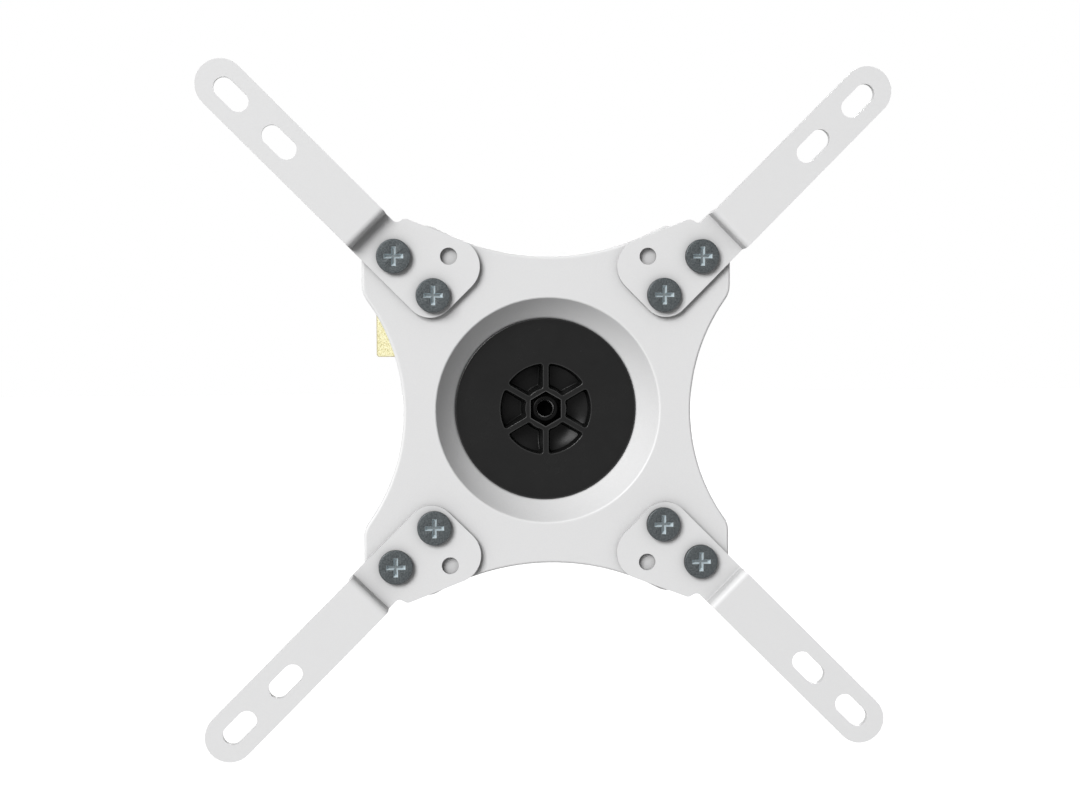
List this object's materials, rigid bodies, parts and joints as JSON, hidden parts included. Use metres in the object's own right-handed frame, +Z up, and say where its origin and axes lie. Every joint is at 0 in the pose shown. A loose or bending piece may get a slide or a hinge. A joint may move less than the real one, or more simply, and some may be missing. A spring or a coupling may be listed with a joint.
{
  "type": "swivel tv wall mount",
  "caption": "Single arm swivel wall mount for a television: hooked wall base, swing arm, ball joint dish and a screen plate with slotted diagonal arms.",
  "frame": {"origin": "middle of the upper pair of wall screw holes, on the wall face", "axes": "+X to the right seen from the room, +Y into the wall, +Z up"},
  "size_m": [0.2222, 0.212, 0.2222],
  "materials": {
    "white_coat": "satin",
    "yellow_passivated": "yellow passivated zinc",
    "black_moulding": "fine grain matt",
    "dark_screw": "dark grey coated",
    "black_steel": "blackened",
    "zinc_steel": "bright zinc plated",
    "spring_steel": "oiled spring steel",
    "nylon": "moulded",
    "friction_plastic": "smooth"
  },
  "bodies": {
    "wall_side": {"wall_plate": "yellow_passivated", "press_nut": "zinc_steel", "wall_base": "white_coat", "lock_screw": "dark_screw", "wall_pivot_bolt": "zinc_steel", "wall_pivot_nut": "zinc_steel", "wall_pivot_washers": "zinc_steel"},
    "arm": {"swing_arm": "white_coat", "wall_bush_top": "nylon", "wall_bush_bottom": "nylon", "head_bush_top": "nylon", "head_bush_bottom": "nylon"},
    "head": {"head_bracket": "white_coat", "head_pivot_bolt": "zinc_steel", "head_pivot_nut": "zinc_steel", "head_pivot_washers": "zinc_steel", "rear_cup": "black_moulding", "clamp_washer": "zinc_steel", "clamp_spring_washers": "spring_steel", "clamp_bolt": "black_steel", "clamp_nut": "black_steel", "front_disc": "black_moulding"},
    "front_ring": {"front_friction_ring": "friction_plastic"},
    "rear_ring": {"rear_friction_ring": "friction_plastic"},
    "screen_plate": {"dish_plate": "white_coat", "arm_top_left": "white_coat", "arm_top_right": "white_coat", "arm_bottom_left": "white_coat", "arm_bottom_right": "white_coat", "arm_screws": "dark_screw", "arm_nuts": "zinc_steel"}
  },
  "joints": [
    {"name": "wall_swivel", "type": "hinge", "parent": "wall_side", "child": "arm", "pos_m": [0, -0.037, -0.03], "axis": [0, 0, 1], "range_deg": [-90, 90]},
    {"name": "head_swivel", "type": "hinge", "parent": "arm", "child": "head", "pos_m": [0, -0.147, -0.03], "axis": [0, 0, -1], "range_deg": [-90, 90]},
    {"name": "screen_tilt", "type": "hinge", "parent": "head", "child": "front_ring", "pos_m": [0, -0.2275, -0.03], "axis": [1, 0, 0], "range_deg": [-12, 12]},
    {"name": "screen_turn", "type": "hinge", "parent": "front_ring", "child": "rear_ring", "pos_m": [0, -0.2275, -0.03], "axis": [0, 0, 1], "range_deg": [-12, 12]},
    {"name": "screen_roll", "type": "hinge", "parent": "rear_ring", "child": "screen_plate", "pos_m": [0, -0.2275, -0.03], "axis": [0, 1, 0], "continuous": true}
  ]
}
